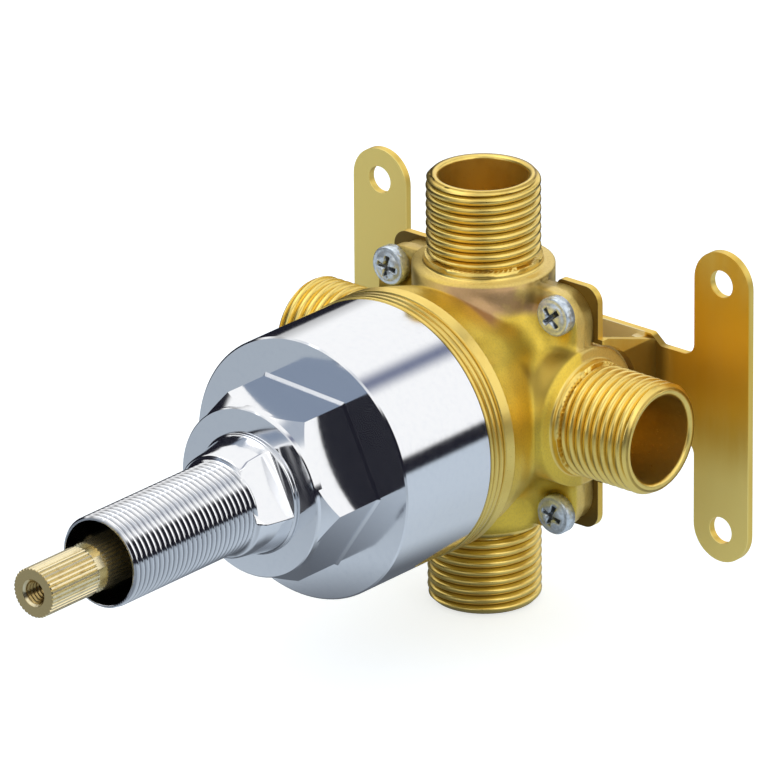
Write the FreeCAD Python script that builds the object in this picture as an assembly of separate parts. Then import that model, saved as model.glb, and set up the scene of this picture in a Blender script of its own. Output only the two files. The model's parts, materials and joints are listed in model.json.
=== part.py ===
import FreeCAD, Part
import math
import os

# Shower diverter valve, rough-in type, all sizes in millimetres.
# While it is modelled, the four port axes cross at the origin: the stem points to -Y (the
# room), the side ports to +X and -X, the top port to +Z and the inlet to -Z. At the end all
# is shifted, so that the row's origin is the middle of the four wall holes, at the wall.

V = FreeCAD.Vector

# body forging
housing_r = 24.3
housing_front = -21.0
housing_bend = -18.6
housing_bend_r = 9.0
waist_r = housing_r - 3.1
waist_front = -7.6
ring_r = housing_r + 0.65
ring_front = -27.6
ring_edge = 0.35
lobe_half = housing_r - 1.2
lobe_corner_r = 6.0
lobe_front = -2.0
lobe_split = 0.6
lobe_back = 3.3
lobe_mismatch = 0.3
cove_r = 4.6
arm_cove_r = 1.8
spot_face_r = 4.5
rear_drum_r = 17.5
rear_drum_back = 14.5
rear_drum_edge = 2.0
chamber_r = 14.0
chamber_floor = 10.5
chamber_front = -18.6
inlet_slot_shift = 5.4

# ports, with parallel half inch pipe threads
collar_r = 13.04
collar_reach = housing_r
collar_edge = 0.4
neck_r = 10.75
neck_length = 1.6
neck_root_r = 0.7
neck_edge = 0.15
port_thread_r = 10.4775
port_thread_length = 15.4
port_thread_start = collar_reach + neck_length
port_reach = port_thread_start + port_thread_length
port_end_chamfer = 0.9
port_bore_r = 8.1
port_bore_chamfer = 0.6
port_bore_floor = collar_reach - 5.3
port_hole_r = 4.8

# screws between the lobes and the bracket pads
screw_edge_distance = 3.75
screw_pitch = 2 * (lobe_half - screw_edge_distance)
screw_r = 2.0
screw_head_r = 3.7
screw_head_height = 2.8
screw_head_dome = 0.9
screw_tip = 8.3
screw_clearance = 0.15
screw_tap_clearance = 0.04
recess_width = 1.0
recess_span = 4.3
recess_depth = 1.5

# wall strap and folded side brackets, cut from one gauge of sheet
sheet = 1.5
strap_front = 18.5
strap_half_height = 8.4
strap_middle_half_height = 10.3
strap_middle_half_width = 24.0
strap_ramp = 2.3
ear_width = 12.5
ear_height = 60.3
ear_pitch = 80.5
ear_hole_pitch = 48.2
ear_hole_r = 2.6
ear_fillet_r = 2.5
pad_half_width = lobe_half + 0.8
pad_half_height = lobe_half + 0.4
pad_corner_r = 3.0
pad_inner = 14.6
wall_x = pad_half_width - 0.3
wall_front_half_height = 13.9
wall_rear_half_height = 9.5
collar_gap = 0.5
foot_width = 3.0
bend_r = 0.6

# bonnet: cup, hexagon and nose
cup_r = ring_r - 0.29
cup_front = -50.9
cup_edge = 0.3
hex_flats = 31.2
hex_turn = 26.7
hex_shoulder = -61.5
hex_foot = 0.45
nose_r = 15.9
nose_back = -64.2
nose_front = -65.2
spigot_r = 19.2
spigot_back = -18.6
spigot_clearance = 0.05
spigot_bore_r = 12.5
guide_back = -42.6
guide_front = -52.0
sleeve_seat = -54.0

# threaded sleeve
sleeve_rim_r = 11.35
sleeve_rim = 0.7
shoulder_back_r = 10.95
shoulder_front_r = 9.7
shoulder_front = -73.5
shoulder_edge = 0.35
sleeve_thread_r = 8.58
sleeve_front = -105.7
sleeve_end_chamfer = 0.35
sleeve_bore_r = 7.9
sleeve_back_bore_r = 6.4
sleeve_bore_step = -75.5
sleeve_spigot_r = 10.0
sleeve_spigot_clearance = 0.05
flat_back = 9.1
flat_front = 8.05

# stem
stem_front = -123.1
spline_r = 4.62
spline_root_r = 4.25
spline_count = 36
front_spline_length = 12.4
stem_groove = 2.2
stem_groove_r = 3.4
stem_lug_half = 1.1
stem_lug_turn = 34.0
back_spline_length = 13.0
stem_r = 5.0
stem_clearance = 0.05
stem_chamfer = 0.15
stem_hole_r = 2.1
stem_hole_depth = 14.0
stem_hole_chamfer = 0.5
flange_front = -42.0
flange_back = -39.5
flange_r = 8.0
flange_low_r = 6.3
flange_half_angle = 80.0
tang_half = 2.7
tang_end = -10.4
tang_clearance = 0.06

# small rings on the stem and in the bonnet
o_ring_wire_r = 0.9
o_ring_gap = 0.04
stem_o_ring_places = (-49.4, -45.4)
circlip_r = 6.6
circlip_thickness = 0.8
circlip_groove_r = 4.3
circlip_front_gap = 0.1
circlip_mouth = 4.0
washer_r = 7.6
washer_thickness = 0.5
washer_gap = 0.05
stop_ring_r = 12.4
stop_ring_bore_r = 8.4
stop_lug_r = 6.6
stop_lug_half_angle = 8.0
stop_key_half = 1.5
stop_key_depth = 1.2
bonnet_o_ring_y = -23.0
sleeve_o_ring_wire_r = 0.6
sleeve_o_ring_gap = 0.04

# cartridge
shell_gap = 0.05
shell_bore_r = 11.0
shell_back = 10.45
cap_front = -18.55
cap_thickness = 2.6
boss_r = 6.0
boss_gap = 0.06
boss_front = -20.4
rotor_r = 10.7
rotor_bore_r = 8.6
rotor_back = 6.8
rotor_head_front = -8.8
rotor_head_back = -5.8
rotor_window_r = 4.6
seal_r = 6.1
seal_bore_r = 4.6
seal_fit = 0.05
seal_gap = 0.1
shell_o_ring_y = -12.2

y_axis = V(0, 1, 0)
wall_face = strap_front + sheet
cup_back = ring_front
arms = (V(1, 0, 0), V(-1, 0, 0), V(0, 0, 1), V(0, 0, -1))
outlets = (V(1, 0, 0), V(-1, 0, 0), V(0, 0, 1))


def rounded_face(points, place):
    """A face through (u, v) points, or (u, v, corner radius); place turns u and v into a vector."""
    spots = [place(point[0], point[1]) for point in points]
    radii = [point[2] if len(point) > 2 else 0 for point in points]
    count = len(points)
    edges = []
    ends = []
    for i in range(count):
        corner = spots[i]
        back = (spots[i - 1] - corner).normalize()
        on = (spots[(i + 1) % count] - corner).normalize()
        half_angle = back.getAngle(on) / 2
        reach = radii[i] / math.tan(half_angle)
        first = corner + back * reach
        last = corner + on * reach
        if radii[i] > 0:
            middle = corner + (back + on).normalize() * (radii[i] / math.sin(half_angle) - radii[i])
            edges.append(Part.Arc(first, middle, last).toShape())
        ends.append((first, last))
    for i in range(count):
        start = ends[i - 1][1]
        end = ends[i][0]
        if (end - start).Length > 1e-6:
            edges.append(Part.makeLine(start, end))
    return Part.Face(Part.Wire(Part.__sortEdges__(edges)))


def turned(points, direction=None, degrees=360):
    """A profile of (radius, place along the axis) points, revolved about that axis."""
    axis = direction or y_axis
    side = V(0, 0, 1) if abs(axis.z) < 0.5 else V(1, 0, 0)
    face = rounded_face(points, lambda radius, place: side * radius + axis * place)
    return face.revolve(V(0, 0, 0), axis, degrees)


def round_bar(radius, start, end, axis=None):
    """A cylinder about an axis through the origin, between two places along it."""
    along = axis or y_axis
    return Part.makeCylinder(radius, end - start, along * start, along)


def joined(shapes):
    return shapes[0].multiFuse(shapes[1:]).removeSplitter()


def o_ring(ring_r, wire_r, y):
    return Part.makeTorus(ring_r, wire_r, V(0, y, 0), y_axis)


def plate(points, front, back):
    """An outline of (x, z) points, as a plate between two places along Y."""
    face = rounded_face(points, lambda x, z: V(x, front, z))
    return face.extrude(V(0, back - front, 0))


def rounded_square(half, corner_r, front, back):
    corners = [(-half, -half, corner_r), (half, -half, corner_r),
               (half, half, corner_r), (-half, half, corner_r)]
    return plate(corners, front, back)


def screw_places():
    half = screw_pitch / 2
    return [(x, z) for x in (-half, half) for z in (-half, half)]


def port_arm(axis):
    return turned([(0, 0), (collar_r, 0), (collar_r, collar_reach, collar_edge),
                   (neck_r, collar_reach, neck_root_r), (neck_r, port_thread_start, neck_edge),
                   (port_thread_r, port_thread_start), (port_thread_r, port_reach - port_end_chamfer),
                   (port_thread_r - port_end_chamfer, port_reach), (0, port_reach)], axis)


def port_passage(axis):
    bore = turned([(0, port_bore_floor), (port_bore_r, port_bore_floor),
                   (port_bore_r, port_reach - port_bore_chamfer),
                   (port_bore_r + port_bore_chamfer + 0.2, port_reach + 0.2),
                   (0, port_reach + 0.2)], axis)
    hole = round_bar(port_hole_r, 0, port_bore_floor + 1, axis)
    return [bore, hole]


def inlet_slot():
    """The inlet reaches back past the rotor, to the open space behind it."""
    height = port_bore_floor + 1
    round_end = Part.makeCylinder(port_hole_r, height, V(0, inlet_slot_shift, -height), V(0, 0, 1))
    middle = Part.makeBox(2 * port_hole_r, inlet_slot_shift, height, V(-port_hole_r, 0, -height))
    return [round_end, middle]


def housing():
    """The round front of the forging: it narrows, then flares into the face of the lobes."""
    barrel = turned([(0, housing_front - 1), (housing_r, housing_front - 1),
                     (housing_r, housing_bend, housing_bend_r), (waist_r, waist_front),
                     (waist_r, lobe_split), (0, lobe_split)])
    flare = turned([(0, waist_front), (waist_r, waist_front), (waist_r, lobe_front, cove_r),
                    (waist_r + cove_r + 0.1, lobe_front), (waist_r + cove_r + 0.1, lobe_split),
                    (0, lobe_split)])
    within = rounded_square(lobe_half, lobe_corner_r, waist_front - 1, lobe_split)
    return joined([barrel, flare.common(within)])


def arm_cove(axis, side):
    """The round inner corner between one side of an arm and the front of the lobes."""
    out = y_axis.cross(axis) * side
    arm_side = math.sqrt(collar_r ** 2 - lobe_front ** 2)
    start = axis * (waist_r / 2)
    tip = arm_side + arm_cove_r + 0.1
    top = lobe_front - arm_cove_r - 0.1
    side_top = math.sqrt(collar_r ** 2 - top ** 2)
    profile = [(arm_side - 1, lobe_front + 0.5), (side_top - 1, top), (side_top, top),
               (arm_side, lobe_front, arm_cove_r), (tip, lobe_front), (tip, lobe_front + 0.5)]
    face = rounded_face(profile, lambda across, y: start + out * across + y_axis * y)
    return face.extrude(axis * (lobe_half - waist_r / 2))


def body_forging():
    front_lobes = rounded_square(lobe_half, lobe_corner_r, lobe_front, lobe_split)
    back_lobes = rounded_square(lobe_half - lobe_mismatch, lobe_corner_r, lobe_split, lobe_back)
    coves = [arm_cove(axis, side) for axis in arms for side in (-1, 1)]
    drum = turned([(0, 0), (rear_drum_r, 0), (rear_drum_r, rear_drum_back, rear_drum_edge),
                   (0, rear_drum_back)])
    ring = turned([(0, housing_front), (ring_r, housing_front, ring_edge),
                   (ring_r, ring_front, ring_edge), (0, ring_front)])
    front = joined([housing(), front_lobes] + coves)
    spot_faces = []
    for x, z in screw_places():
        spot_faces.append(Part.makeCylinder(spot_face_r, waist_r, V(x, lobe_front - waist_r, z), y_axis))
    front = front.cut(spot_faces)
    return joined([front, back_lobes, drum, ring] + [port_arm(axis) for axis in arms])


def valve_body():
    chamber = round_bar(chamber_r, chamber_front - 1, chamber_floor)
    mouth = round_bar(spigot_r + spigot_clearance, ring_front - 1, chamber_front)
    cuts = [chamber, mouth] + inlet_slot()
    for axis in arms:
        cuts += port_passage(axis)
    for x, z in screw_places():
        cuts.append(Part.makeCylinder(screw_r + screw_clearance, lobe_back - lobe_front + 4,
                                      V(x, lobe_front - 2, z), y_axis))
    return body_forging().cut(cuts)


def bracket_screw(x, z):
    head_top = lobe_front - screw_head_height
    profile = [(0, screw_tip), (screw_r - 0.5, screw_tip), (screw_r, screw_tip - 0.5),
               (screw_r, lobe_front), (screw_head_r, lobe_front),
               (screw_head_r, head_top + screw_head_dome + 0.2),
               (screw_head_r - 0.55, head_top + 0.35),
               (screw_head_r - 1.6, head_top), (0, head_top)]
    screw = turned(profile)
    for turn in (0, 90):
        slot = Part.makeBox(recess_span, recess_depth, recess_width,
                            V(-recess_span / 2, head_top - 0.1, -recess_width / 2))
        slot.rotate(V(0, 0, 0), y_axis, turn)
        screw = screw.cut(slot)
    screw.translate(V(x, 0, z))
    return screw


def bracket_screws():
    return Part.makeCompound([bracket_screw(x, z) for x, z in screw_places()])


def wall_strap():
    inner = ear_pitch / 2 - ear_width / 2
    outer = ear_pitch / 2 + ear_width / 2
    top = ear_height / 2
    end_r = ear_width / 2 - 0.01
    ramp_end = strap_middle_half_width + strap_ramp
    right_top = [(strap_middle_half_width, strap_middle_half_height, 0.8),
                 (ramp_end, strap_half_height, 0.8),
                 (inner, strap_half_height, ear_fillet_r),
                 (inner, top, end_r), (outer, top, end_r)]
    right_bottom = [(x, -z, r) for x, z, r in reversed(right_top)]
    left = [(-x, z, r) for x, z, r in reversed(right_top + right_bottom)]
    strap = plate(right_top + right_bottom + left, strap_front, wall_face)
    holes = []
    for x in (-ear_pitch / 2, ear_pitch / 2):
        for z in (-ear_hole_pitch / 2, ear_hole_pitch / 2):
            holes.append(Part.makeCylinder(ear_hole_r, 3 * sheet, V(x, strap_front - sheet, z), y_axis))
    return strap.cut(holes)


def side_bracket(side):
    """Two pads behind the lobes, a wall that runs back from them, and a foot on the strap."""
    pads_back = lobe_back + sheet
    notch_r = collar_r + collar_gap
    lower = [(pad_inner, -pad_half_height, 1.0), (pad_half_width, -pad_half_height, pad_corner_r),
             (pad_half_width, pad_half_height, pad_corner_r), (pad_inner, pad_half_height, 1.0)]
    pads = plate(lower, lobe_back, pads_back)
    wall_length = strap_front - lobe_back
    slope = [V(wall_x, lobe_back, -wall_front_half_height), V(wall_x, lobe_back, wall_front_half_height),
             V(wall_x, lobe_back + sheet, wall_front_half_height),
             V(wall_x, lobe_back + wall_length, wall_rear_half_height),
             V(wall_x, lobe_back + wall_length, -wall_rear_half_height),
             V(wall_x, lobe_back + sheet, -wall_front_half_height)]
    wall = Part.Face(Part.makePolygon(slope + slope[:1])).extrude(V(sheet, 0, 0))
    link = Part.makeBox(wall_x + sheet - pad_half_width + 1, sheet, 2 * wall_front_half_height,
                        V(pad_half_width - 1, lobe_back, -wall_front_half_height))
    foot = Part.makeBox(sheet + foot_width, sheet, 2 * wall_rear_half_height,
                        V(wall_x - foot_width, strap_front - sheet, -wall_rear_half_height))
    notch = round_bar(notch_r, 0, wall_x + 2 * sheet, V(1, 0, 0))
    drum_notch = round_bar(rear_drum_r + collar_gap, lobe_back - 1, strap_front - sheet)
    bracket = joined([pads, wall, link, foot])
    bends = [e for e in bracket.Edges if is_outer_bend(e)]
    bracket = bracket.makeFillet(bend_r, bends)
    holes = []
    for x, z in screw_places():
        if x > 0:
            holes.append(Part.makeCylinder(screw_r + screw_tap_clearance, 3 * sheet,
                                           V(x, lobe_back - sheet, z), y_axis))
    bracket = bracket.cut([notch, drum_notch] + holes)
    if side < 0:
        bracket = bracket.mirror(V(0, 0, 0), V(1, 0, 0))
    return bracket


def is_outer_bend(edge):
    """True for the front corner of the fold between the pads and the wall."""
    box = edge.BoundBox
    front = abs(box.YMax - lobe_back) < 0.01
    outer = abs(box.XMin - wall_x - sheet) < 0.01 and abs(box.XMax - wall_x - sheet) < 0.01
    return front and outer and box.ZLength > 1


def hexagon(flats, y):
    corner_r = flats / 2 / math.cos(math.radians(30))
    turns = [math.radians(hex_turn + 30 + 60 * i) for i in range(6)]
    points = [V(corner_r * math.cos(t), y, corner_r * math.sin(t)) for t in turns]
    return Part.makePolygon(points + points[:1])


def bonnet():
    corner_r = hex_flats / 2 / math.cos(math.radians(30))
    outer = turned([(0, cup_back), (cup_r - 0.2, cup_back), (cup_r, cup_back - 0.2),
                    (cup_r, cup_front + cup_edge), (cup_r - cup_edge, cup_front), (0, cup_front)])
    hex_bar = Part.Face(hexagon(hex_flats, nose_back)).extrude(V(0, cup_front + 1 - nose_back, 0))
    foot = Part.makeLoft([hexagon(hex_flats, cup_front - hex_foot),
                          hexagon(hex_flats + 2 * hex_foot, cup_front)], True, True)
    chamfer = turned([(0, cup_front + 2), (corner_r + 3, cup_front + 2),
                      (corner_r + 3, cup_front), (corner_r, cup_front),
                      (corner_r, hex_shoulder), (nose_r, nose_back), (0, nose_back)])
    nose = turned([(0, nose_back + 1), (nose_r, nose_back + 1), (nose_r, nose_front + 0.2),
                   (nose_r - 0.2, nose_front), (0, nose_front)])
    spigot = round_bar(spigot_r, cup_back - 1, spigot_back)
    groove = o_ring_groove(spigot_r, bonnet_o_ring_y)
    hollow = turned([(spigot_bore_r, spigot_back + 1), (spigot_bore_r, guide_back), (0, guide_back),
                     (0, spigot_back + 1)])
    guide = round_bar(stem_r + stem_clearance, guide_front - 3, guide_back + 1)
    seat_r = sleeve_spigot_r + sleeve_spigot_clearance
    seal_r = seat_r + 2 * sleeve_o_ring_wire_r + sleeve_o_ring_gap
    seal_back = nose_front + 2 * (sleeve_o_ring_wire_r + sleeve_o_ring_gap)
    front_bore = turned([(0, guide_front), (circlip_r + 0.6, guide_front), (circlip_r + 0.6, sleeve_seat),
                         (seat_r, sleeve_seat), (seat_r, seal_back), (seal_r, seal_back),
                         (seal_r, nose_front - 1), (0, nose_front - 1)])
    key = Part.makeBox(2 * stop_key_half + 0.1, flange_back - guide_back, stop_key_depth + 1.1,
                       V(-stop_key_half - 0.05, guide_back, spigot_bore_r - 1))
    solid = joined([outer, hex_bar.common(chamfer), foot, nose, spigot])
    return solid.cut([groove, hollow, guide, front_bore, key])


def o_ring_groove(outer_r, y):
    """A square groove for a sealing ring that stands just inside the mating bore."""
    depth = 2 * o_ring_wire_r
    ring = round_bar(outer_r + 2, y - o_ring_wire_r * 1.25, y + o_ring_wire_r * 1.25)
    core = round_bar(outer_r - depth + o_ring_gap, y - 2 * o_ring_wire_r, y + 2 * o_ring_wire_r)
    return ring.cut(core)


def groove_ring(outer_r, y):
    """The sealing ring of such a groove, resting on its floor."""
    return o_ring(outer_r - o_ring_wire_r + o_ring_gap, o_ring_wire_r, y)


def bonnet_o_ring():
    return groove_ring(spigot_r, bonnet_o_ring_y)


def sleeve_o_ring():
    centre_r = sleeve_spigot_r + sleeve_o_ring_wire_r + sleeve_o_ring_gap
    return o_ring(centre_r, sleeve_o_ring_wire_r, nose_front + sleeve_o_ring_wire_r + sleeve_o_ring_gap)


def threaded_sleeve():
    rim_front = nose_front - sleeve_rim
    outer = turned([(sleeve_back_bore_r, sleeve_seat), (sleeve_spigot_r - 0.4, sleeve_seat),
                    (sleeve_spigot_r, sleeve_seat - 0.4), (sleeve_spigot_r, nose_front),
                    (sleeve_rim_r, nose_front), (sleeve_rim_r, rim_front + 0.15),
                    (sleeve_rim_r - 0.15, rim_front), (shoulder_back_r, rim_front),
                    (shoulder_front_r, shoulder_front + shoulder_edge),
                    (shoulder_front_r - shoulder_edge, shoulder_front),
                    (sleeve_thread_r, shoulder_front),
                    (sleeve_thread_r, sleeve_front + sleeve_end_chamfer),
                    (sleeve_thread_r - sleeve_end_chamfer, sleeve_front),
                    (sleeve_bore_r, sleeve_front), (sleeve_bore_r, sleeve_bore_step),
                    (sleeve_back_bore_r, sleeve_bore_step + sleeve_bore_r - sleeve_back_bore_r)])
    return outer.cut([wrench_flat(0), wrench_flat(180)])


def wrench_flat(turn):
    """The cutter for one flat, which follows the taper of the shoulder up to the rim."""
    wide = 2 * shoulder_back_r
    outside = 2 * shoulder_back_r
    rim_front = nose_front - sleeve_rim
    corners = [(flat_front, shoulder_front), (flat_back, rim_front),
               (outside, rim_front), (outside, shoulder_front)]
    points = [V(x, y, -wide / 2) for x, y in corners]
    cutter = Part.Face(Part.makePolygon(points + points[:1])).extrude(V(0, 0, wide))
    cutter.rotate(V(0, 0, 0), y_axis, -hex_turn + turn)
    return cutter


def splines(front, back):
    """A bar with fine straight teeth, each with a narrow flat crest and a sharp root."""
    corners = []
    step = 2 * math.pi / spline_count
    for i in range(spline_count):
        for part, radius in ((0.0, spline_root_r), (0.3, spline_r), (0.7, spline_r)):
            turn = (i + part) * step
            corners.append(V(radius * math.cos(turn), front, radius * math.sin(turn)))
    face = Part.Face(Part.makePolygon(corners + corners[:1]))
    return face.extrude(V(0, back - front, 0))


def stem():
    groove_front = stem_front + front_spline_length
    groove_back = groove_front + stem_groove
    splines_back = groove_back + back_spline_length
    front_teeth = splines(stem_front, groove_front)
    face_edge = turned([(0, stem_front - 0.01), (spline_r - stem_chamfer, stem_front - 0.01),
                        (spline_r + 0.01, stem_front + stem_chamfer), (spline_r + 0.01, groove_front),
                        (0, groove_front)])
    back_teeth = splines(groove_back, splines_back)
    neck = round_bar(stem_groove_r, groove_front - 1, splines_back + 1)
    shaft = turned([(0, splines_back), (spline_root_r, splines_back), (stem_r, splines_back + 1),
                    (stem_r, flange_front), (flange_low_r, flange_front), (flange_low_r, flange_back),
                    (0, flange_back)])
    sector = turned([(0, flange_front), (flange_r, flange_front), (flange_r, flange_back),
                     (0, flange_back)], degrees=2 * flange_half_angle)
    sector.rotate(V(0, 0, 0), y_axis, -flange_half_angle)
    tang = Part.makeBox(2 * tang_half, tang_end - flange_back + 1, 2 * tang_half,
                        V(-tang_half, flange_back - 1, -tang_half))
    lug = Part.makeBox(spline_root_r, stem_groove + 0.2, 2 * stem_lug_half,
                       V(0, groove_front - 0.1, -stem_lug_half))
    lug.rotate(V(0, 0, 0), y_axis, -stem_lug_turn)
    solid = joined([front_teeth.common(face_edge), neck, lug, back_teeth, shaft, sector, tang])
    hole = turned([(0, stem_front - 1), (stem_hole_r + stem_hole_chamfer + 1, stem_front - 1),
                   (stem_hole_r, stem_front + stem_hole_chamfer),
                   (stem_hole_r, stem_front + stem_hole_depth),
                   (0, stem_front + stem_hole_depth + stem_hole_r / 2)])
    grooves = [o_ring_groove(stem_r, y) for y in stem_o_ring_places]
    clip_front = guide_front - circlip_front_gap - circlip_thickness
    clip_groove = round_bar(stem_r + 1, clip_front - 0.05, clip_front + circlip_thickness + 0.05)
    clip_groove = clip_groove.cut(round_bar(circlip_groove_r, clip_front - 1, guide_front + 1))
    return solid.cut([hole, clip_groove] + grooves)


def stem_o_rings():
    return Part.makeCompound([groove_ring(stem_r, y) for y in stem_o_ring_places])


def stem_circlip():
    front = guide_front - circlip_front_gap - circlip_thickness
    ring = round_bar(circlip_r, front, front + circlip_thickness)
    bore = round_bar(circlip_groove_r + 0.03, front - 1, guide_front)
    mouth = Part.makeBox(circlip_mouth, 4, 2 * circlip_r, V(-circlip_mouth / 2, front - 1, -2 * circlip_r))
    return ring.cut([bore, mouth])


def thrust_washer():
    front = flange_front - washer_gap - washer_thickness
    ring = round_bar(washer_r, front, front + washer_thickness)
    return ring.cut(round_bar(stem_r + 0.1, front - 1, flange_front))


def stop_ring():
    """It fills the cavity's end, with a key in the bonnet and a lug that stops the stem."""
    ring = round_bar(stop_ring_r, guide_back, flange_back)
    ring = ring.cut(round_bar(stop_ring_bore_r, guide_back - 1, flange_back + 1))
    lug = turned([(stop_lug_r, guide_back), (stop_ring_bore_r + 0.5, guide_back),
                  (stop_ring_bore_r + 0.5, flange_back), (stop_lug_r, flange_back)],
                 degrees=2 * stop_lug_half_angle)
    lug.rotate(V(0, 0, 0), y_axis, 180 - stop_lug_half_angle)
    lug = lug.cut(round_bar(washer_r + 0.1, guide_back - 1, flange_front))
    key = Part.makeBox(2 * stop_key_half, flange_back - guide_back, stop_key_depth + 1,
                       V(-stop_key_half, guide_back, spigot_bore_r - 1))
    return joined([ring, lug, key])


def window(radius, axis, start, end):
    return round_bar(radius, start, end, axis)


def cartridge_shell():
    shell_r = chamber_r - shell_gap
    front = cap_front + cap_thickness
    tube = round_bar(shell_r, front, shell_back)
    cuts = [round_bar(shell_bore_r, front - 1, shell_back + 1)]
    cuts += [window(seal_r + seal_fit, axis, 5, chamber_r + 2) for axis in outlets]
    slot_half = port_hole_r + 0.5
    cuts.append(Part.makeBox(2 * slot_half, shell_back + 2 * slot_half, chamber_r,
                             V(-slot_half, -slot_half, -chamber_r - 5)))
    cuts.append(o_ring_groove(shell_r, shell_o_ring_y))
    return tube.cut(cuts)


def shell_o_ring():
    return groove_ring(chamber_r - shell_gap, shell_o_ring_y)


def cartridge_cap():
    disc = round_bar(chamber_r - shell_gap, cap_front, cap_front + cap_thickness)
    bore = round_bar(boss_r + boss_gap, cap_front - 1, 0)
    return disc.cut(bore)


def boss_o_ring():
    return groove_ring(boss_r, cap_front + cap_thickness / 2)


def rotor():
    """A cup that is open behind, with one window in its side and a socket for the stem."""
    cup = turned([(0, rotor_head_front), (rotor_r, rotor_head_front), (rotor_r, rotor_back),
                  (rotor_bore_r, rotor_back), (rotor_bore_r, rotor_head_back), (0, rotor_head_back)])
    boss = round_bar(boss_r, boss_front, rotor_head_front + 1)
    socket_half = tang_half + tang_clearance
    socket = Part.makeBox(2 * socket_half, tang_end - boss_front + 1.2, 2 * socket_half,
                          V(-socket_half, boss_front - 1, -socket_half))
    side_window = window(rotor_window_r, V(0, 0, 1), 4, rotor_r + 2)
    groove = o_ring_groove(boss_r, cap_front + cap_thickness / 2)
    return joined([cup, boss]).cut([socket, side_window, groove])


def outlet_seal(axis):
    ring = window(seal_r, axis, 5, chamber_r + 2)
    bore = window(seal_bore_r, axis, 4, chamber_r + 3)
    inside = round_bar(rotor_r + seal_gap, -2 * seal_r, 2 * seal_r)
    return ring.common(round_bar(chamber_r - 0.02, -2 * seal_r, 2 * seal_r)).cut([bore, inside])


def outlet_seals():
    return Part.makeCompound([outlet_seal(axis) for axis in outlets])


def save(name, shape):
    placed = shape.copy()
    placed.translate(V(0, -wall_face, 0))
    placed.exportStep("parts/" + name + ".step")
    print(name, len(placed.Solids), "solids", round(placed.Volume, 1), "mm3", placed.isValid())


def main():
    os.makedirs("parts", exist_ok=True)
    save("valve_body", valve_body())
    save("bracket_screws", bracket_screws())
    save("wall_strap", wall_strap())
    save("side_bracket_right", side_bracket(1))
    save("side_bracket_left", side_bracket(-1))
    save("bonnet", bonnet())
    save("bonnet_o_ring", bonnet_o_ring())
    save("threaded_sleeve", threaded_sleeve())
    save("sleeve_o_ring", sleeve_o_ring())
    save("stem", stem())
    save("stem_o_rings", stem_o_rings())
    save("stem_circlip", stem_circlip())
    save("thrust_washer", thrust_washer())
    save("stop_ring", stop_ring())
    save("cartridge_shell", cartridge_shell())
    save("shell_o_ring", shell_o_ring())
    save("cartridge_cap", cartridge_cap())
    save("rotor", rotor())
    save("boss_o_ring", boss_o_ring())
    save("outlet_seals", outlet_seals())


main()
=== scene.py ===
import json
import math

import bmesh
import bpy
from mathutils import Matrix, Vector


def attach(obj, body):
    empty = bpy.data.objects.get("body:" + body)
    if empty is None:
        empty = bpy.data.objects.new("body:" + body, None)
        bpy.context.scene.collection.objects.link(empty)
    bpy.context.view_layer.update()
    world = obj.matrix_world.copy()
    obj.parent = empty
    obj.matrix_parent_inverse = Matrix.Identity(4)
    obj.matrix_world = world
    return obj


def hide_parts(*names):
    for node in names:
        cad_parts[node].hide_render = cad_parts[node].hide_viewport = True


# The valve is drawn in millimetres about the point where its four port axes cross, with the
# stem towards -Y, and finishPiece moves it to the frame's own origin on the wall.

print("loading the frame")
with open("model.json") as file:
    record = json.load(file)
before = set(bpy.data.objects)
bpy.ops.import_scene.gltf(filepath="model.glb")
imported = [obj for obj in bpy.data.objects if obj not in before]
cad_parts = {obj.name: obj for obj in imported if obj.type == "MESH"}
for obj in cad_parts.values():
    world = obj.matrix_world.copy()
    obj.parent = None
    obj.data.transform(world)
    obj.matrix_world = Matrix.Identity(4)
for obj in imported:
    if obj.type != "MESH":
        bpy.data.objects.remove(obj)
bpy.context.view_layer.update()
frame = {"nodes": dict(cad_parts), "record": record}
nodes = frame["nodes"]
topPort = next(mount for mount in frame["record"]["mounts"] if mount["name"] == "top_port")
crossing = Vector((0, topPort["pos_m"][1], 0))
toFrame = Matrix.Translation(crossing) @ Matrix.Scale(0.001, 4)


# Materials: one wrapped socket with maths on it

class Wire:
    def __init__(self, tree, socket):
        self.tree = tree
        self.socket = socket

    def maths(self, operation, first, second=None):
        node = self.tree.nodes.new("ShaderNodeMath")
        node.operation = operation
        for place, value in enumerate((first, second)):
            feed(self.tree, node.inputs[place], value)
        return Wire(self.tree, node.outputs[0])

    def __add__(self, other):
        return self.maths("ADD", self, other)

    def __sub__(self, other):
        return self.maths("SUBTRACT", self, other)

    def __rsub__(self, other):
        return self.maths("SUBTRACT", other, self)

    def __mul__(self, other):
        return self.maths("MULTIPLY", self, other)

    def __abs__(self):
        return self.maths("ABSOLUTE", self)

    def __or__(self, other):  # the larger of the two
        return self.maths("MAXIMUM", self, other)

    def __and__(self, other):  # the smaller of the two
        return self.maths("MINIMUM", self, other)

    def root(self):
        return self.maths("SQRT", self)

    def rise(self, low, high):  # 0 below low, 1 above high, smooth between
        node = self.tree.nodes.new("ShaderNodeMapRange")
        node.interpolation_type = "SMOOTHSTEP"
        for place, value in enumerate((self, low, high, 0.0, 1.0)):
            feed(self.tree, node.inputs[place], value)
        return Wire(self.tree, node.outputs[0])

    def fall(self, low, high):
        return 1 - self.rise(low, high)


def feed(tree, socket, value):
    if value is None:
        return
    if isinstance(value, Wire):
        tree.links.new(value.socket, socket)
    else:
        socket.default_value = value


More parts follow.
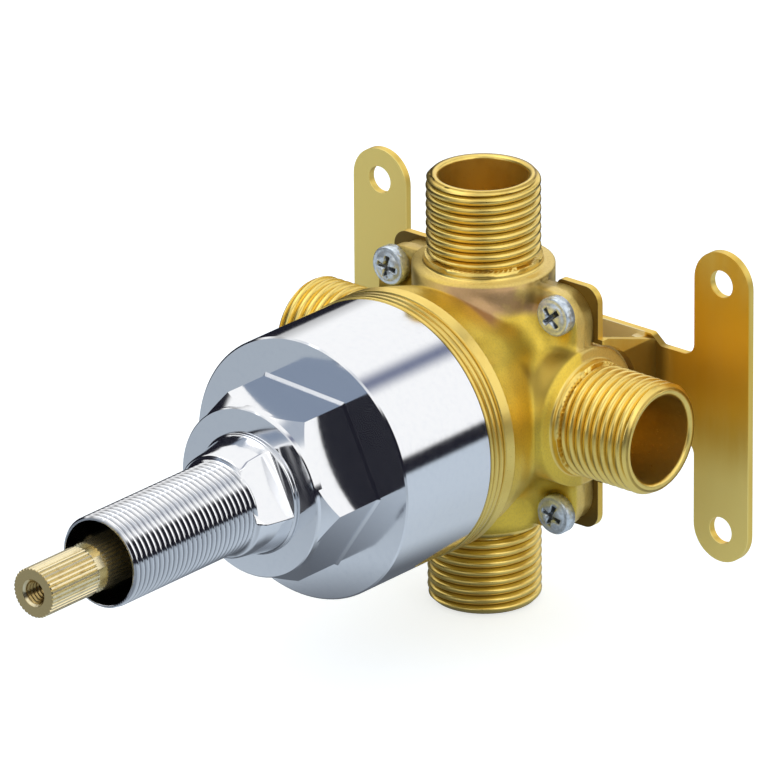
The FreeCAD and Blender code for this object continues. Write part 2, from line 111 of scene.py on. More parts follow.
class Recipe:  # the node tree of one material or of the world
    def __init__(self, tree):
        self.tree = tree
        tree.nodes.clear()

    def node(self, kind, settings=None, values=None, output=0):
        made = self.tree.nodes.new(kind)
        for name, value in (settings or {}).items():
            setattr(made, name, value)
        for name, value in (values or {}).items():
            feed(self.tree, made.inputs[name], value)
        return Wire(self.tree, made.outputs[output]) if len(made.outputs) else None

    def place(self):
        return self.node("ShaderNodeTexCoord", output="Object")

    def parts(self, vector):
        node = self.tree.nodes.new("ShaderNodeSeparateXYZ")
        feed(self.tree, node.inputs[0], vector)
        return [Wire(self.tree, socket) for socket in node.outputs]

    def noise(self, scale, detail=3.0, rough=0.55, stretch=None):
        where = self.place()
        if stretch:
            where = self.node("ShaderNodeMapping", values={"Vector": where, "Scale": stretch})
        return self.node("ShaderNodeTexNoise", {"noise_dimensions": "3D"},
                         {"Vector": where, "Scale": scale, "Detail": detail, "Roughness": rough})

    def mix(self, factor, first, second):
        node = self.tree.nodes.new("ShaderNodeMix")
        node.data_type = "RGBA"
        for place, value in ((0, factor), (6, first), (7, second)):
            feed(self.tree, node.inputs[place], value)
        return Wire(self.tree, node.outputs[2])

    def mixNormals(self, factor, first, second):
        node = self.tree.nodes.new("ShaderNodeMix")
        node.data_type = "VECTOR"
        for place, value in ((0, factor), (4, first), (5, second)):
            feed(self.tree, node.inputs[place], value)
        return Wire(self.tree, node.outputs[1])

    def bump(self, height, strength, distance):
        return self.node("ShaderNodeBump", values={"Height": height, "Strength": strength,
                                                   "Distance": distance})


def colour(red, green, blue):
    return (red, green, blue, 1.0)


def newMaterial(name):
    material = bpy.data.materials.new(name)
    material.use_nodes = True
    return material, Recipe(material.node_tree)


def finishMaterial(recipe, values):
    shader = recipe.node("ShaderNodeBsdfPrincipled", values=values)
    recipe.node("ShaderNodeOutputMaterial", values={"Surface": shader})


forgedBrass = {
    "yellow": colour(0.90, 0.65, 0.09),
    "pink": colour(0.52, 0.31, 0.18),
    "pale": colour(0.86, 0.65, 0.20),
    "dull": colour(0.46, 0.31, 0.08),
    "side": colour(0.92, 0.70, 0.22),
    "shade": colour(0.30, 0.20, 0.04),
    "rough": 0.34,
    "metal": 0.94,
    "grain": 0.00006,
    "blends": (0.0007, 0.0036),
}
# where the forging's tints and painted shade begin and end, in metres
forgedZones = {
    "frontY": (-0.0222, -0.0208),
    "upperZ": (0.0175, 0.0200),
    "upperY": (-0.0345, -0.0315),
    "topEndZ": (0.0236, 0.0242),
    "pinkShadeLeftX": (-0.006, 0.003),
    "pinkShadeRightX": (0.0155, 0.0185),
    "lobeSide": (0.0219, 0.0227),
    "collarFootX": (0.0175, 0.0195),
    "collarEndX": (0.0232, 0.0240),
    "collarLowZ": (-0.003, 0.003),
    "collarHighZ": (0.0128, 0.0138),
    "collarBackY": (-0.0225, -0.0215),
    "collarFrontY": (-0.0335, -0.0305),
    "leftLobe": (0.012, 0.015),
    "cornerLowZ": (0.0196, 0.0204),
    "cornerLeftX": (0.0112, 0.0126),
    "cornerRightX": (0.0150, 0.0165),
    "cornerFrontY": (-0.0240, -0.0222),
}


def makeForgedBrass():
    material, recipe = newMaterial("forgedBrass")
    x, y, z = recipe.parts(recipe.place())
    zone = forgedZones
    clouds = recipe.noise(70.0, 4.0)
    fine = recipe.noise(2600.0, 3.0, 0.6)
    front = y.fall(*zone["frontY"])
    upper = z.rise(*zone["upperZ"]) * y.rise(*zone["upperY"])
    base = recipe.mix((1 - upper) * front, forgedBrass["pale"], forgedBrass["yellow"])
    # painted pink shade under the top port and left of the upper right screw, broken up by noise
    pinkShade = upper * z.fall(*zone["topEndZ"]) * x.rise(*zone["pinkShadeLeftX"])
    pinkShade = pinkShade * x.fall(*zone["pinkShadeRightX"]) * front
    base = recipe.mix((pinkShade * 1.3 * clouds.rise(0.25, 0.5)) & 0.85, base, forgedBrass["pink"])
    sides = (abs(x).rise(*zone["lobeSide"]) | abs(z).rise(*zone["lobeSide"])) * (1 - front)
    base = recipe.mix(sides * 0.8, base, forgedBrass["side"])
    # the upper left lobe is darker, with a painted dark reflection on the right collar's foot and
    # painted shade in the corner beside the top collar
    leftLobe = (0 - x).rise(*zone["leftLobe"]) * z.rise(*zone["leftLobe"])
    base = recipe.mix(leftLobe * 0.45, base, forgedBrass["dull"])
    collar = x.rise(*zone["collarFootX"]) * x.fall(*zone["collarEndX"]) * z.rise(*zone["collarLowZ"])
    collar = collar * z.fall(*zone["collarHighZ"]) * y.fall(*zone["collarBackY"])
    collar = collar * y.rise(*zone["collarFrontY"])
    corner = z.rise(*zone["cornerLowZ"]) * z.fall(*zone["topEndZ"]) * x.rise(*zone["cornerLeftX"])
    corner = corner * x.fall(*zone["cornerRightX"]) * y.rise(*zone["cornerFrontY"])
    base = recipe.mix((collar | corner) * 0.8, base, forgedBrass["shade"])
    base = recipe.mix(fine.rise(0.35, 0.75) * 0.24, base, forgedBrass["dull"])
    # the forging's corners are softly rounded, most of all in front
    crisp, soft = [recipe.node("ShaderNodeBevel", {"samples": 8}, {"Radius": radius})
                   for radius in forgedBrass["blends"]]
    bump = recipe.node("ShaderNodeBump", values={"Height": fine, "Strength": 0.6,
                                                 "Distance": forgedBrass["grain"],
                                                 "Normal": recipe.mixNormals(front, crisp, soft)})
    finishMaterial(recipe, {
        "Base Color": base,
        "Metallic": forgedBrass["metal"] - sides * 0.45,
        "Roughness": fine * 0.12 + forgedBrass["rough"],
        "Normal": bump,
    })
    return material


machinedBrass = {
    "colour": colour(0.93, 0.70, 0.20),
    "stain": colour(0.66, 0.42, 0.07),
    "groove": colour(0.36, 0.22, 0.04),
    "rough": 0.24,
    "metal": 0.97,
    "threadStart": (0.0258, 0.0262),
    "outsideBore": (0.0092, 0.0094),
    "threadGroove": (0.00964, 0.00985),
    "ringCore": (0.0240, 0.0242),
    "ringGroove": (0.0244, 0.0247),
    "ringY": (-0.0436, -0.0434),
}


def threadGroove(along, radius):
    brass = machinedBrass
    return abs(along).rise(*brass["threadStart"]) * (radius.rise(*brass["outsideBore"])
                                                     * radius.fall(*brass["threadGroove"]))


def makeMachinedBrass():
    material, recipe = newMaterial("machinedBrass")
    clouds = recipe.noise(160.0, 4.0)
    fine = recipe.noise(3200.0, 2.0)
    base = recipe.mix(clouds.rise(0.45, 0.75) * 0.4, machinedBrass["colour"], machinedBrass["stain"])
    # painted shade in the grooves of the port threads and of the ring
    x, y, z = recipe.parts(recipe.place())
    forward = (y - crossing.y) * (y - crossing.y)
    upright = threadGroove(z, (x * x + forward).root())
    level = threadGroove(x, (z * z + forward).root())
    radius = (x * x + z * z).root()
    ring = radius.rise(*machinedBrass["ringCore"]) * radius.fall(*machinedBrass["ringGroove"])
    ring = ring * y.fall(*machinedBrass["ringY"])
    finishMaterial(recipe, {
        "Base Color": recipe.mix((upright | level | ring) * 0.65, base, machinedBrass["groove"]),
        "Metallic": machinedBrass["metal"],
        "Roughness": fine * 0.12 + machinedBrass["rough"],
        "Normal": recipe.bump(fine, 0.35, 0.00003),
    })
    return material


sheetBrass = {
    "face": colour(0.86, 0.58, 0.10),
    "pale": colour(0.92, 0.71, 0.19),
    "light": colour(1.0, 0.82, 0.26),
    "deep": colour(0.80, 0.44, 0.02),
    "gap": colour(0.12, 0.07, 0.015),
    "shade": colour(0.22, 0.12, 0.01),
    "lit": colour(0.95, 0.83, 0.50),
    "metal": 0.78,
    "rough": 0.36,
}
sheetZones = {
    "frontY": (-0.0014, -0.0011),
    "earX": (0.03, 0.033),
    "earLowZ": (-0.016, -0.004),
    "warmX": (0.025, 0.031),
    "warmLowZ": (-0.012, 0.004),
    "warmHighZ": (0.018, 0.03),
    "wallLeftX": (0.0226, 0.0232),
    "wallRightX": (0.026, 0.0285),
    "wallFrontY": (-0.0155, -0.0135),
    "wallTopZ": (0.0098, 0.0102),
    "strapX": (0.0222, 0.0228),
    "strapY": (-0.0045, -0.0035),
    "padFaceY": (-0.01662, -0.0165),
}


def makeSheetBrass():
    material, recipe = newMaterial("sheetBrass")
    zone = sheetZones
    rolled = recipe.noise(220.0, 4.0, 0.6, (1.0, 1.0, 0.12))
    fine = recipe.noise(3000.0, 2.0)
    base = recipe.mix(rolled.rise(0.3, 0.75), sheetBrass["face"], sheetBrass["pale"])
    # painted reflections on the fronts of the ears: pale on the left one and low on the right one, warm
    # above that
    x, y, z = recipe.parts(recipe.place())
    front = y.fall(*zone["frontY"])
    light = ((x.rise(*zone["earX"]) * z.fall(*zone["earLowZ"])) | (0 - x).rise(*zone["earX"])) * front
    base = recipe.mix(light * 0.9, base, sheetBrass["light"])
    warm = x.rise(*zone["warmX"]) * z.rise(*zone["warmLowZ"])
    warm = warm * (1 - z.rise(*zone["warmHighZ"]) * 0.7) * front
    base = recipe.mix(warm * 0.85, base, sheetBrass["deep"])
    # painted shade on the right side wall, and painted light on the strap's front between the two walls
    wall = x.rise(*zone["wallLeftX"]) * x.fall(*zone["wallRightX"]) * y.rise(*zone["wallFrontY"])
    base = recipe.mix(wall * z.fall(*zone["wallTopZ"]) * 0.8, base, sheetBrass["shade"])
    between = abs(x).fall(*zone["strapX"]) * y.rise(*zone["strapY"]) * front
    base = recipe.mix(between, base, sheetBrass["lit"])
    # painted shade on the pads' front faces, in the dark gap behind the lobes
    base = recipe.mix(y.fall(*zone["padFaceY"]) * 0.9, base, sheetBrass["gap"])
    finishMaterial(recipe, {
        "Base Color": base,
        "Metallic": sheetBrass["metal"] - between * 0.5 - light * 0.35,
        "Roughness": rolled * 0.16 + sheetBrass["rough"],
        "Normal": recipe.bump(fine, 0.3, 0.00003),
    })
    return material


stemBrass = {
    "colour": colour(0.94, 0.82, 0.52),
    "stain": colour(0.50, 0.36, 0.14),
    "rough": 0.2,
    "endFaceY": (-0.14308, -0.14300),
    "hole": (0.0021, 0.0023),
}


def makeStemBrass():
    material, recipe = newMaterial("stemBrass")
    clouds = recipe.noise(420.0, 3.0)
    fine = recipe.noise(3600.0, 2.0)
    x, y, z = recipe.parts(recipe.place())
    endFace = y.fall(*stemBrass["endFaceY"])  # the sawn end face is duller
    # painted shade inside the tapped hole, mixed in with the stains and the duller end face
    inHole = (x * x + z * z).root().fall(*stemBrass["hole"])
    stainedAndShaded = (clouds.rise(0.5, 0.8) * 0.4) | (endFace * 0.8) | inHole
    finishMaterial(recipe, {
        "Base Color": recipe.mix(stainedAndShaded, stemBrass["colour"], stemBrass["stain"]),
        "Metallic": 1.0,
        "Roughness": fine * 0.1 + stemBrass["rough"],
        "Normal": recipe.bump(fine, 0.3, 0.00002),
    })
    return material


chromePlate = {
    "colour": colour(0.88, 0.89, 0.91),
    "haze": colour(0.80, 0.82, 0.87),
    "groove": colour(0.16, 0.17, 0.2),
    "rough": 0.06,
    "outsideBore": (0.0079, 0.00795),
    "threadGroove": (0.00815, 0.00838),
    "threadY": (-0.0936, -0.0930),
}


def makeChromePlate():
    material, recipe = newMaterial("chromePlate")
    haze = recipe.noise(900.0, 4.0, 0.6)
    x, y, z = recipe.parts(recipe.place())
    radius = (x * x + z * z).root()
    # painted shade in the grooves of the sleeve's thread
    groove = radius.fall(*chromePlate["threadGroove"]) * radius.rise(*chromePlate["outsideBore"])
    groove = groove * y.fall(*chromePlate["threadY"])
    base = recipe.mix(haze.rise(0.4, 0.8) * 0.35, chromePlate["colour"], chromePlate["haze"])
    finishMaterial(recipe, {
        "Base Color": recipe.mix(groove * 0.6, base, chromePlate["groove"]),
        "Metallic": 1.0,
        "Roughness": haze * 0.08 + chromePlate["rough"],
        "Normal": recipe.bump(haze, 0.12, 0.00002),
    })
    return material


platedSteel = {
    "recessShade": colour(0.05, 0.055, 0.06),
    "screwAt": 0.01935,
    "recess": (0.0021, 0.0023),
    "recessFrontY": (-0.0244, -0.0240),
    "recessFloorY": (-0.0226, -0.0222),
}


def shaded(tone, share):
    return colour(*[share * value for value in tone[:3]])


def makePlatedSteel(name, tone, rough, metal=1.0, recessShade=0.0):
    material, recipe = newMaterial(name)
    haze = recipe.noise(1400.0, 4.0, 0.6)
    base = recipe.mix(haze.rise(0.4, 0.7), tone, shaded(tone, 0.72))
    # painted shade in a bracket screw's cross recess
    x, y, z = recipe.parts(recipe.place())
    across = abs(x) - platedSteel["screwAt"]
    above = abs(z) - platedSteel["screwAt"]
    inside = (across * across + above * above).root().fall(*platedSteel["recess"])
    inside = inside * y.rise(*platedSteel["recessFrontY"]) * y.fall(*platedSteel["recessFloorY"])
    finishMaterial(recipe, {
        "Base Color": recipe.mix(inside * recessShade, base, platedSteel["recessShade"]),
        "Metallic": metal,
        "Roughness": haze * 0.15 + rough,
        "Normal": recipe.bump(haze, 0.3, 0.00004),
    })
    return material


def makeMoulding(name, tone, rough):
    material, recipe = newMaterial(name)
    speck = recipe.noise(1800.0, 3.0)
    finishMaterial(recipe, {
        "Base Color": recipe.mix(speck.rise(0.3, 0.8) * 0.25, tone, shaded(tone, 0.8)),
        "Roughness": speck * 0.15 + rough,
        "Normal": recipe.bump(speck, 0.2, 0.00003),
    })
    return material


print("making the materials")
materials = {
    "forged_brass": makeForgedBrass(),
    "machined": makeMachinedBrass(),
    "sheet_brass": makeSheetBrass(),
    "stem_brass": makeStemBrass(),
    "chrome_plate": makeChromePlate(),
    "zinc_steel": makePlatedSteel("zincSteel", colour(0.78, 0.87, 0.95), 0.16, 0.62, 0.9),
    "spring_steel": makePlatedSteel("springSteel", colour(0.40, 0.40, 0.42), 0.25),
    "seal_rubber": makeMoulding("sealRubber", colour(0.025, 0.025, 0.027), 0.5),
    "cartridge_plastic": makeMoulding("cartridgePlastic", colour(0.80, 0.80, 0.78), 0.4),
}
for part in frame["record"]["subparts"]:
    node = nodes[part["node"]]
    node.data.materials.clear()
    node.data.materials.append(materials[part["material_slot"]])


# Mesh helpers, in millimetres

mergeWithin = 0.0005


def copyOf(nodeName):  # a merged copy of a CAD node, about the crossing
    mesh = bmesh.new()
    mesh.from_mesh(nodes[nodeName].data)
    bmesh.ops.transform(mesh, matrix=toFrame.inverted(), verts=mesh.verts)
    bmesh.ops.remove_doubles(mesh, verts=mesh.verts, dist=mergeWithin)
    return mesh


def finishPiece(mesh, name, body, finishes, sharpAngle, replaced=None):
    bmesh.ops.transform(mesh, matrix=toFrame, verts=mesh.verts)
    data = bpy.data.meshes.new(name)
    mesh.to_mesh(data)
    mesh.free()
    data.shade_smooth()
    data.set_sharp_from_angle(angle=math.radians(sharpAngle))
    piece = bpy.data.objects.new(name, data)
    bpy.context.scene.collection.objects.link(piece)
    for finish in finishes:
        data.materials.append(materials[finish])
    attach(piece, body)
    if replaced:
        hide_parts(replaced)
    return piece


def weighNormals(piece):
    weigh = piece.modifiers.new("weighNormals", "WEIGHTED_NORMAL")
    weigh.keep_sharp = True
    weigh.weight = 60


def ridge(mesh, profile, pitch, turns, steps):
    # a row of (radius, height) points is carried round Z and up, as a right-hand thread
    row = [mesh.verts.new((radius, 0, height)) for radius, height in profile]
    edges = [mesh.edges.new(pair) for pair in zip(row, row[1:])]
    bmesh.ops.spin(mesh, geom=row + edges, cent=(0, 0, 0), axis=(0, 0, 1), dvec=(0, 0, pitch / steps),
                   angle=2 * math.pi * turns, steps=round(steps * turns), use_duplicate=False)
    bmesh.ops.remove_doubles(mesh, verts=mesh.verts, dist=mergeWithin)


def turnedRing(mesh, profile, steps):
    # a closed or open row of (radius, height) points, carried once round Z
    row = [mesh.verts.new((radius, 0, height)) for radius, height in profile]
    edges = [mesh.edges.new(pair) for pair in zip(row, row[1:])]
    bmesh.ops.spin(mesh, geom=row + edges, cent=(0, 0, 0), axis=(0, 0, 1), angle=2 * math.pi,
                   steps=steps, use_merge=True, use_duplicate=False)


def addTo(target, mesh, matrix, materialIndex):
    bmesh.ops.transform(mesh, matrix=matrix, verts=mesh.verts)
    bmesh.ops.recalc_face_normals(mesh, faces=mesh.faces)
    for face in mesh.faces:
        face.material_index = materialIndex
        face.smooth = True
    loose = bpy.data.meshes.new("loose")
    mesh.to_mesh(loose)
    mesh.free()
    target.from_mesh(loose)
    bpy.data.meshes.remove(loose)


# The body forging, with real threads on its ports and ridges on its ring

machinedPast = {"neck": 24.4, "ringFront": -21.1, "chamber": 20.5}
portThread = {
    "axes": [Vector((0, 0, 1)), Vector((1, 0, 0)), Vector((-1, 0, 0)), Vector((0, 0, -1))],
    "crest": 10.4775,
    "root": 9.62,
    "core": 9.4,
    "pitch": 1.814,
    "start": 25.9,
    "end": 41.3,
    "endRadius": 9.5775,
    "slack": 0.01,
    "plainEnd": 0.5,
    "lead": 0.7,
    "runOn": 1.6,
    "rampRadius": 9.2,
    "rampSlope": 1.6,
    "endGap": 0.02,
    "endStep": 0.05,
    "steps": 56,
    "profile": [(9.55, -0.907), (9.62, -0.85), (9.98, -0.68), (10.26, -0.50), (10.42, -0.28),
                (10.4775, 0.0), (10.42, 0.28), (10.26, 0.50), (9.98, 0.68), (9.62, 0.85), (9.55, 0.907)],
}
ringRidge = {
    "front": -27.55,
    "back": -23.5,
    "core": 24.2,
    "foot": 24.1,
    "shoulder": 24.95,
    "overlap": 0.01,
    "first": 0.12,
    "pitch": 1.33,
    "ridges": 3,
    "steps": 160,
    "profile": [(24.85, 0.0), (24.3, 0.22), (24.3, 0.36), (24.8, 0.62), (24.9, 0.9), (24.82, 1.2)],
}


def portThreads(body):
    cut = portThread
    turns = (cut["end"] - cut["start"] + cut["runOn"]) / cut["pitch"]
    for axis in cut["axes"]:
        for vert in body.verts:
            along = vert.co.dot(axis)
            across = vert.co - along * axis
            onThread = cut["start"] - cut["slack"] < along < cut["end"] - cut["plainEnd"]
            if onThread and across.length > cut["root"]:
                vert.co = along * axis + across.normalized() * cut["core"]
        mesh = bmesh.new()
        ridge(mesh, cut["profile"], cut["pitch"], turns, cut["steps"])
        for vert in mesh.verts:
            vert.co.z += cut["start"] - cut["lead"]
            radius = math.hypot(vert.co.x, vert.co.y)
            limit = min(cut["endRadius"] + cut["end"] - vert.co.z,
                        cut["rampRadius"] + cut["rampSlope"] * max(vert.co.z - cut["start"], 0))
            if vert.co.z > cut["end"] - cut["endGap"]:
                vert.co.z = cut["end"] - cut["endGap"]
                limit = cut["endRadius"] - cut["endStep"]
            if radius > limit:
                vert.co.x *= limit / radius
                vert.co.y *= limit / radius
        turn = Vector((0, 0, 1)).rotation_difference(axis).to_matrix().to_4x4()
        addTo(body, mesh, turn, 1)


def ringRidges(body):
    ring = ringRidge
    geometry = list(body.verts) + list(body.edges) + list(body.faces)
    bmesh.ops.bisect_plane(body, geom=geometry, dist=0.0001, plane_co=(0, ring["back"], 0),
                           plane_no=(0, 1, 0))
    for vert in body.verts:
        radius = math.hypot(vert.co.x, vert.co.z)
        if vert.co.y < ring["back"] + ring["overlap"] and radius > ring["core"]:
            vert.co.x *= ring["core"] / radius
            vert.co.z *= ring["core"] / radius
    behind = -ring["back"] - ring["overlap"]
    profile = [(ring["foot"], behind), (ring["shoulder"], behind)]
    for ridgeNumber in range(ring["ridges"]):
        start = ring["first"] + ridgeNumber * ring["pitch"] - ring["back"]
        profile += [(radius, start + further) for radius, further in ring["profile"]]
    profile += [(ring["foot"], -ring["front"])]
    mesh = bmesh.new()
    turnedRing(mesh, profile, ring["steps"])
    addTo(body, mesh, Matrix.Rotation(math.radians(90), 4, "X"), 1)


def makeBodyForging():
    body = copyOf("valve_body")
    for face in body.faces:
        middle = face.calc_center_median()
        atPort = max(abs(middle.x), abs(middle.z)) > machinedPast["neck"]
        atRing = middle.y < machinedPast["ringFront"]
        inChamber = middle.length < machinedPast["chamber"]
        face.material_index = 1 if atPort or atRing or inChamber else 0
    portThreads(body)
    ringRidges(body)
    piece = finishPiece(body, "bodyForging", "casing", ["forged_brass", "machined"], 40, "valve_body")
    weighNormals(piece)


print("cutting the port threads")
makeBodyForging()


# The chromed sleeve with its fine thread

sleeveThread = {
    "crest": 8.58,
    "root": 8.1,
    "pitch": 1.27,
    "start": 73.5,
    "end": 105.7,
    "endRadius": 8.23,
    "slack": 0.01,
    "plainEnd": 0.2,
    "lead": 0.6,
    "runOn": 1.5,
    "endGap": 0.02,
    "endStep": 0.05,
    "steps": 48,
    "profile": [(8.06, -0.635), (8.12, -0.54), (8.48, -0.2), (8.58, -0.08), (8.58, 0.08),
                (8.48, 0.2), (8.12, 0.54), (8.06, 0.635)],
}


def makeSleeve():
    cut = sleeveThread
    sleeve = copyOf("threaded_sleeve")
    for vert in sleeve.verts:
        radius = math.hypot(vert.co.x, vert.co.z)
        onThread = cut["start"] - cut["slack"] < -vert.co.y < cut["end"] - cut["plainEnd"]
        if onThread and cut["root"] < radius < cut["crest"] + cut["slack"]:
            vert.co.x *= cut["root"] / radius
            vert.co.z *= cut["root"] / radius
    mesh = bmesh.new()
    turns = (cut["end"] - cut["start"] + cut["runOn"]) / cut["pitch"]
    ridge(mesh, cut["profile"], cut["pitch"], turns, cut["steps"])
    for vert in mesh.verts:
        vert.co.z += cut["start"] - cut["lead"]
        radius = math.hypot(vert.co.x, vert.co.y)
        limit = cut["endRadius"] + cut["end"] - vert.co.z
        if vert.co.z > cut["end"] - cut["endGap"]:
            vert.co.z = cut["end"] - cut["endGap"]
            limit = cut["endRadius"] - cut["endStep"]
        if radius > limit:
            vert.co.x *= limit / radius
            vert.co.y *= limit / radius
    addTo(sleeve, mesh, Matrix.Rotation(math.radians(90), 4, "X"), 0)
    piece = finishPiece(sleeve, "sleeveWithThread", "casing", ["chrome_plate"], 40, "threaded_sleeve")
    weighNormals(piece)


print("cutting the sleeve's thread")
makeSleeve()


# The tapped hole in the stem's end

stemHole = {
    "wall": 2.14,
    "foot": 2.10,
    "crest": 1.78,
    "pitch": 0.8,
    "footShare": 0.8,
    "crestShare": 0.2,
    "start": 109.6,
    "end": 122.3,
    "steps": 28,
}


def makeStemThread():
    cut = stemHole
    half = cut["pitch"] / 2
    foot = half * cut["footShare"]
    crest = half * cut["crestShare"]
    profile = [(cut["wall"], -half), (cut["foot"], -foot), (cut["crest"], -crest),
               (cut["crest"], crest), (cut["foot"], foot), (cut["wall"], half)]
    mesh = bmesh.new()
    turns = (cut["end"] - cut["start"]) / cut["pitch"]
    ridge(mesh, profile, cut["pitch"], turns, cut["steps"])
    bmesh.ops.translate(mesh, vec=(0, 0, cut["start"]), verts=mesh.verts)
    bmesh.ops.transform(mesh, matrix=Matrix.Rotation(math.radians(90), 4, "X"), verts=mesh.verts)
    bmesh.ops.recalc_face_normals(mesh, faces=mesh.faces)
    finishPiece(mesh, "stemHoleThread", "spindle", ["stem_brass"], 50)


print("tapping the stem")
makeStemThread()


# The four bracket screws, each with its cross recess turned its own way

screwTurns = {"upperLeft": 8, "upperRight": 48, "lowerLeft": 33, "lowerRight": 20}
screwHead = {"half": 19.35, "top": -4.8, "rim": 0.6, "flat": 0.3, "dome": 0.08}


def makeScrews():
    screws = copyOf("bracket_screws")
    head = screwHead
    half = head["half"]
    for vert in screws.verts:
        radius = math.hypot(abs(vert.co.x) - half, abs(vert.co.z) - half)
        if vert.co.y < head["top"] + head["rim"] and radius > head["flat"]:
            vert.co.y = max(vert.co.y, head["top"] + head["dome"] * radius ** 2)
    for where, degrees in screwTurns.items():
        centre = Vector((half if "Right" in where else -half, 0, half if "upper" in where else -half))
        own = [vert for vert in screws.verts
               if (vert.co.x > 0) == (centre.x > 0) and (vert.co.z > 0) == (centre.z > 0)]
        turn = Matrix.Rotation(math.radians(degrees), 3, "Y")
        bmesh.ops.rotate(screws, cent=centre, matrix=turn, verts=own)
    piece = finishPiece(screws, "turnedScrews", "casing", ["zinc_steel"], 40, "bracket_screws")
    weighNormals(piece)


print("turning the screws")
makeScrews()


# Floor, background and light

studio = {
    "floorHeight": -0.0418,
    "floorTone": colour(0.62, 0.68, 0.76),
    "floorLift": colour(0.66, 0.66, 0.64),
    "floorSeen": colour(0.57, 0.65, 0.74),
    "dark": colour(0.012, 0.012, 0.02),
    "gap": colour(0.107, 0.133, 0.242),
    "screen": colour(0.27, 0.33, 0.43),
    "white": colour(1.05, 1.05, 1.05),
    "ambient": 0.8,
}
# what shiny parts see of the floor, in metres, as the limits of each dark patch and its strength
floorSeen = {
    "size": 4.0,
    "farAround": (0.3, 0.5),
    "farBackLeft": (0.08, 0.24),
    "bonnetX": -0.01,
    "bonnetY": -0.06,
    "bonnetStretchX": 820,
    "bonnetStretchY": 280,
    "bonnetEdge": (0.6, 1.3),
    "bonnetShare": 0.78,
    "leftX": (0.008, 0.022),
    "leftY": (-0.05, -0.03),
    "leftShare": 0.6,
    "frontY": (0.08, 0.17),
    "frontShare": 0.28,
    "evenShare": 0.75,
}


def lightPath(recipe):  # whether a ray comes straight from the camera, or from a shiny surface
    path = recipe.tree.nodes.new("ShaderNodeLightPath")
    camera, through, glossy = [Wire(recipe.tree, path.outputs["Is %s Ray" % kind])
                               for kind in ("Camera", "Transmission", "Glossy")]
    return camera | through, glossy


def makeFloor():
    mesh = bmesh.new()
    bmesh.ops.create_circle(mesh, cap_ends=True, segments=96, radius=floorSeen["size"])
    bmesh.ops.translate(mesh, vec=(0, 0, studio["floorHeight"]), verts=mesh.verts)
    data = bpy.data.meshes.new("floor")
    mesh.to_mesh(data)
    mesh.free()
    floor = bpy.data.objects.new("floor", data)
    bpy.context.scene.collection.objects.link(floor)
    material, recipe = newMaterial("paleFloor")
    direct, glossy = lightPath(recipe)
    x, y = recipe.parts(recipe.place())[:2]
    # shiny parts see the floor end a short way off, sooner at the back left, with a painted shadow under
    # the bonnet and behind on the left, and darker in front
    patch = floorSeen
    darkPatches = (x * x + y * y).root().rise(*patch["farAround"]) | (y - x).rise(*patch["farBackLeft"])
    across = x - patch["bonnetX"]
    along = y - patch["bonnetY"]
    under = (across * across * patch["bonnetStretchX"] + along * along * patch["bonnetStretchY"]).root()
    left = (0 - x).rise(*patch["leftX"]) * y.rise(*patch["leftY"])
    front = (0 - y).rise(*patch["frontY"])
    darkPatches = darkPatches | under.fall(*patch["bonnetEdge"]) * patch["bonnetShare"] | left * patch["leftShare"]
    darkPatches = darkPatches | front * patch["frontShare"]
    matt = recipe.node("ShaderNodeBsdfDiffuse", values={"Color": studio["floorTone"]})
    lift = recipe.node("ShaderNodeEmission", values={"Color": studio["floorLift"], "Strength": 1.0})
    both = recipe.node("ShaderNodeAddShader", values={0: matt, 1: lift})
    end = recipe.node("ShaderNodeEmission", values={"Color": studio["dark"], "Strength": 1.0})
    even = recipe.node("ShaderNodeEmission", values={"Color": studio["floorSeen"], "Strength": 1.0})
    seen = recipe.node("ShaderNodeMixShader", values={0: direct, 1: matt, 2: both})
    seen = recipe.node("ShaderNodeMixShader", values={0: glossy * patch["evenShare"], 1: seen, 2: even})
    seen = recipe.node("ShaderNodeMixShader", values={0: glossy * darkPatches, 1: seen, 2: end})
    recipe.node("ShaderNodeOutputMaterial", values={"Surface": seen})
    data.materials.append(material)


# what shiny parts see of the surroundings, as limits on the parts of a direction of length 1
sky = {
    "gapTurn": 74,
    "gapWidth": (0.0, 0.17),
    "gapZ": (0.2, 0.4),
    "gapY": (0.1, 0.4),
    "gapShare": 0.92,
    # direction, degrees to its inner and outer edge, strength and tone
    "patches": [
        ((-0.54, -0.71, 0.45), 8, 30, 1.0, "screen"),
        ((0.64, -0.74, 0.2), 16, 27, 1.0, "dark"),
        ((0.227, -0.456, 0.863), 6, 20, 0.8, "screen"),
    ],
    "leftX": (0.62, 0.8),
    "leftZ": (0.3, 0.42),
    "frontX": (0.58, 0.7),
    "frontY": (0.15, 0.3),
    "frontZ": (0.5, 0.65),
    "horizonZ": (0.03, 0.09),
    "plainZ": (-0.1, 0.3),
    "plainLow": 0.5,
}


def near(x, y, z, way, inner, outer):  # 1 within inner degrees of a direction, 0 beyond outer
    way = Vector(way).normalized()
    along = x * way.x + y * way.y + z * way.z
    return along.rise(math.cos(math.radians(outer)), math.cos(math.radians(inner)))


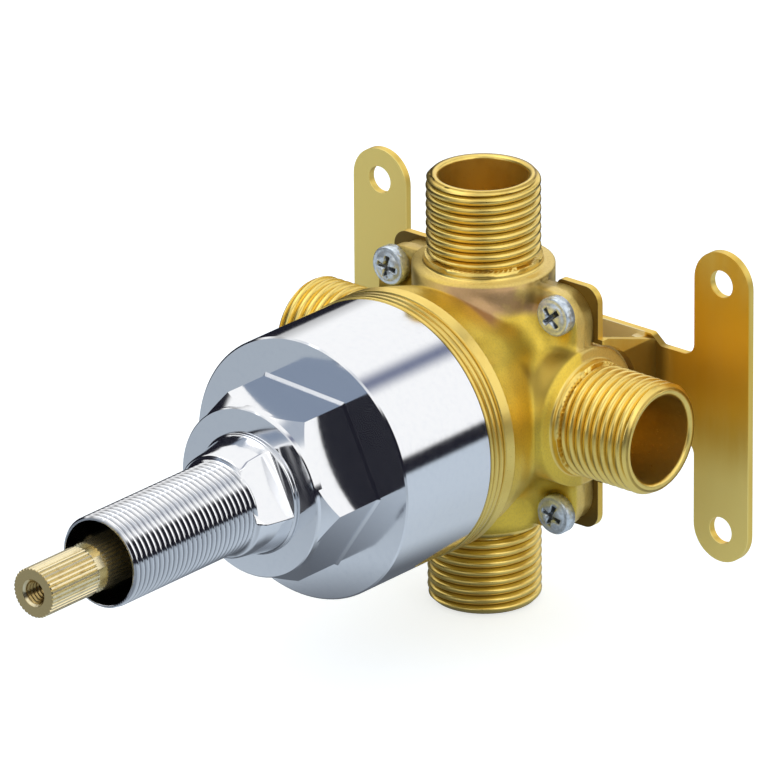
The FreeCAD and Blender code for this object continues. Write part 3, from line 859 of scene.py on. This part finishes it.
def makeWorld():
    world = bpy.data.worlds.new("studioWorld")
    bpy.context.scene.world = world
    world.use_nodes = True
    recipe = Recipe(world.node_tree)
    x, y, z = recipe.parts(recipe.node("ShaderNodeTexCoord", output="Generated"))
    direct, glossy = lightPath(recipe)
    # a dark gap between two soft boxes overhead, which the chrome shows as a band
    turn = math.radians(sky["gapTurn"])
    gap = abs(x * math.sin(turn) - z * math.cos(turn)).fall(*sky["gapWidth"])
    gap = gap * z.rise(*sky["gapZ"]) * y.rise(*sky["gapY"])
    seen = recipe.mix(gap * sky["gapShare"], studio["white"], studio["gap"])
    for way, inner, outer, share, tone in sky["patches"]:
        seen = recipe.mix(near(x, y, z, way, inner, outer) * share, seen, studio[tone])
    # the room is dark on the left, higher up at the front left, and below the horizon
    left = (0 - x).rise(*sky["leftX"]) * z.fall(*sky["leftZ"])
    front = (0 - x).rise(*sky["frontX"]) * (0 - y).rise(*sky["frontY"]) * z.fall(*sky["frontZ"])
    seen = recipe.mix(left | front | z.fall(*sky["horizonZ"]), seen, studio["dark"])
    low, high = [colour(level, level, level) for level in (sky["plainLow"], studio["ambient"])]
    plain = recipe.mix(z.rise(*sky["plainZ"]), low, high)
    tone = recipe.mix(glossy, plain, seen)
    tone = recipe.mix(direct, tone, colour(1, 1, 1))
    light = recipe.node("ShaderNodeBackground", values={"Color": tone, "Strength": 1.0})
    recipe.node("ShaderNodeOutputWorld", values={"Surface": light})


lamps = {
    "size": 1.0,
    "aim": Vector((0, -0.05, 0)),
    "places": {"keyLamp": Vector((-0.6, -0.3, 1.5)), "fillLamp": Vector((1.3, -0.5, 0.9))},
    "powers": {"keyLamp": 2.5, "fillLamp": 1.5},
}


def addLamps():
    for name, place in lamps["places"].items():
        lamp = bpy.data.lights.new(name, "AREA")
        lamp.size = lamps["size"]
        lamp.energy = lamps["powers"][name]
        holder = bpy.data.objects.new(name, lamp)
        bpy.context.scene.collection.objects.link(holder)
        holder.location = place
        holder.rotation_euler = (lamps["aim"] - place).to_track_quat("-Z", "Y").to_euler()


shot = {
    "turn": 39.85,
    "tilt": 22.57,
    "roll": -0.39,
    "away": 2.337,
    "aside": 0.01806,
    "lens": 602.92,
    "sensor": 36,
    "clipEnd": 50,
}


def addCamera():
    turn, tilt, roll = [math.radians(shot[angle]) for angle in ("turn", "tilt", "roll")]
    back = Vector((math.sin(turn) * math.cos(tilt), -math.cos(turn) * math.cos(tilt), math.sin(tilt)))
    across = Vector((math.cos(turn), math.sin(turn), 0))
    place = crossing + back * shot["away"]
    sight = (crossing - across * shot["aside"] - place).normalized()
    right = sight.cross(Vector((0, 0, 1))).normalized()
    above = right.cross(sight)
    rolledRight = right * math.cos(roll) + above * math.sin(roll)
    rolledAbove = above * math.cos(roll) - right * math.sin(roll)
    data = bpy.data.cameras.new("camera")
    data.lens = shot["lens"]
    data.sensor_width = shot["sensor"]
    data.clip_end = shot["clipEnd"]
    camera = bpy.data.objects.new("camera", data)
    bpy.context.scene.collection.objects.link(camera)
    facing = Matrix((rolledRight, rolledAbove, -sight)).transposed()
    camera.matrix_world = Matrix.Translation(place) @ facing.to_4x4()
    bpy.context.scene.camera = camera


print("lighting the scene")
makeFloor()
makeWorld()
addLamps()
addCamera()

view = bpy.context.scene.view_settings
view.view_transform = "Standard"

print("done")
